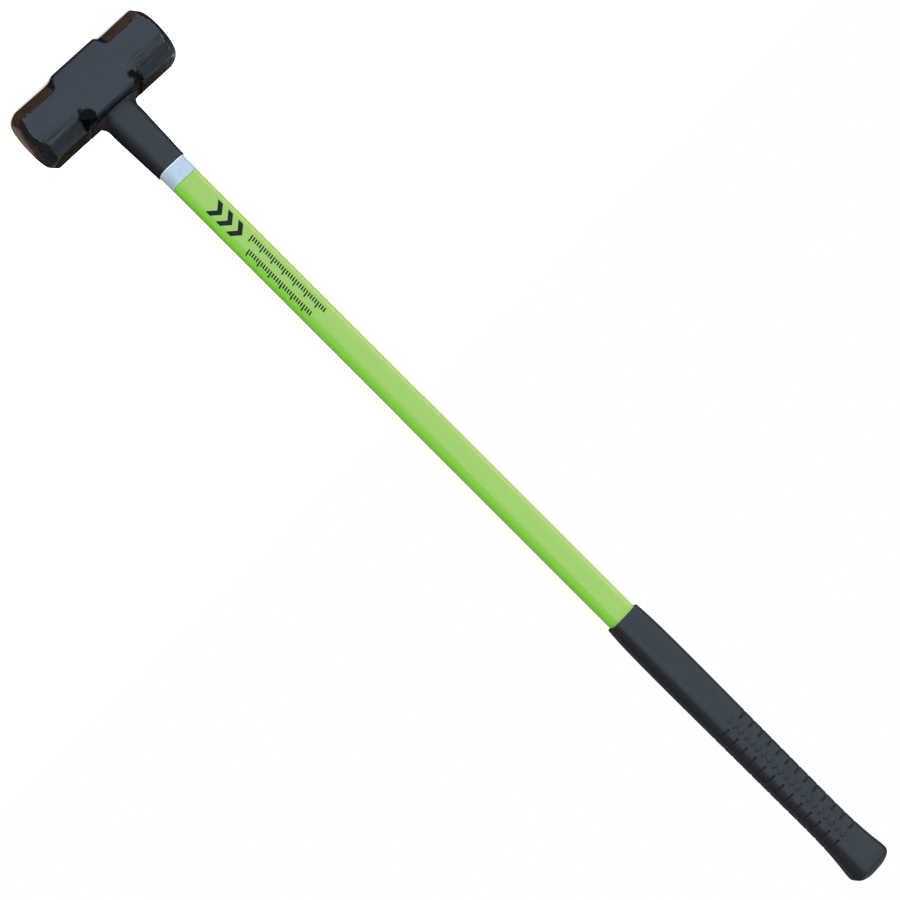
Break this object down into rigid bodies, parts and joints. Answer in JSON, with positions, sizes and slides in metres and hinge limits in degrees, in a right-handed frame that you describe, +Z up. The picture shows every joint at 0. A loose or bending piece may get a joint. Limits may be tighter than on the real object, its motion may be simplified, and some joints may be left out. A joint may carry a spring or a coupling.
{
  "type": "sledgehammer",
  "caption": "Long-handled double-faced sledge hammer: black forged head, green-jacketed fibreglass handle, rubber overstrike collar and grip.",
  "frame": {"origin": "centre of the head's flat top face, on which the hammer stands upright", "axes": "+Z up the handle from the head to the butt; +X along the head towards one striking face; +Y out of one cheek"},
  "size_m": [0.1446, 0.0508, 0.9144],
  "materials": {
    "head_enamel": "gloss",
    "green_jacket": "gloss",
    "black_rubber": "satin",
    "reflective_film": "retroreflective",
    "fibreglass": "pultruded",
    "epoxy": "cast",
    "seal_rubber": "matte"
  },
  "bodies": {
    "root": {"hammer_head": "head_enamel", "eye_resin": "epoxy", "eye_seal": "seal_rubber", "fibreglass_rod": "fibreglass", "handle_jacket": "green_jacket", "reflective_band": "reflective_film", "overstrike_collar": "black_rubber", "rubber_grip": "black_rubber"}
  },
  "joints": []
}
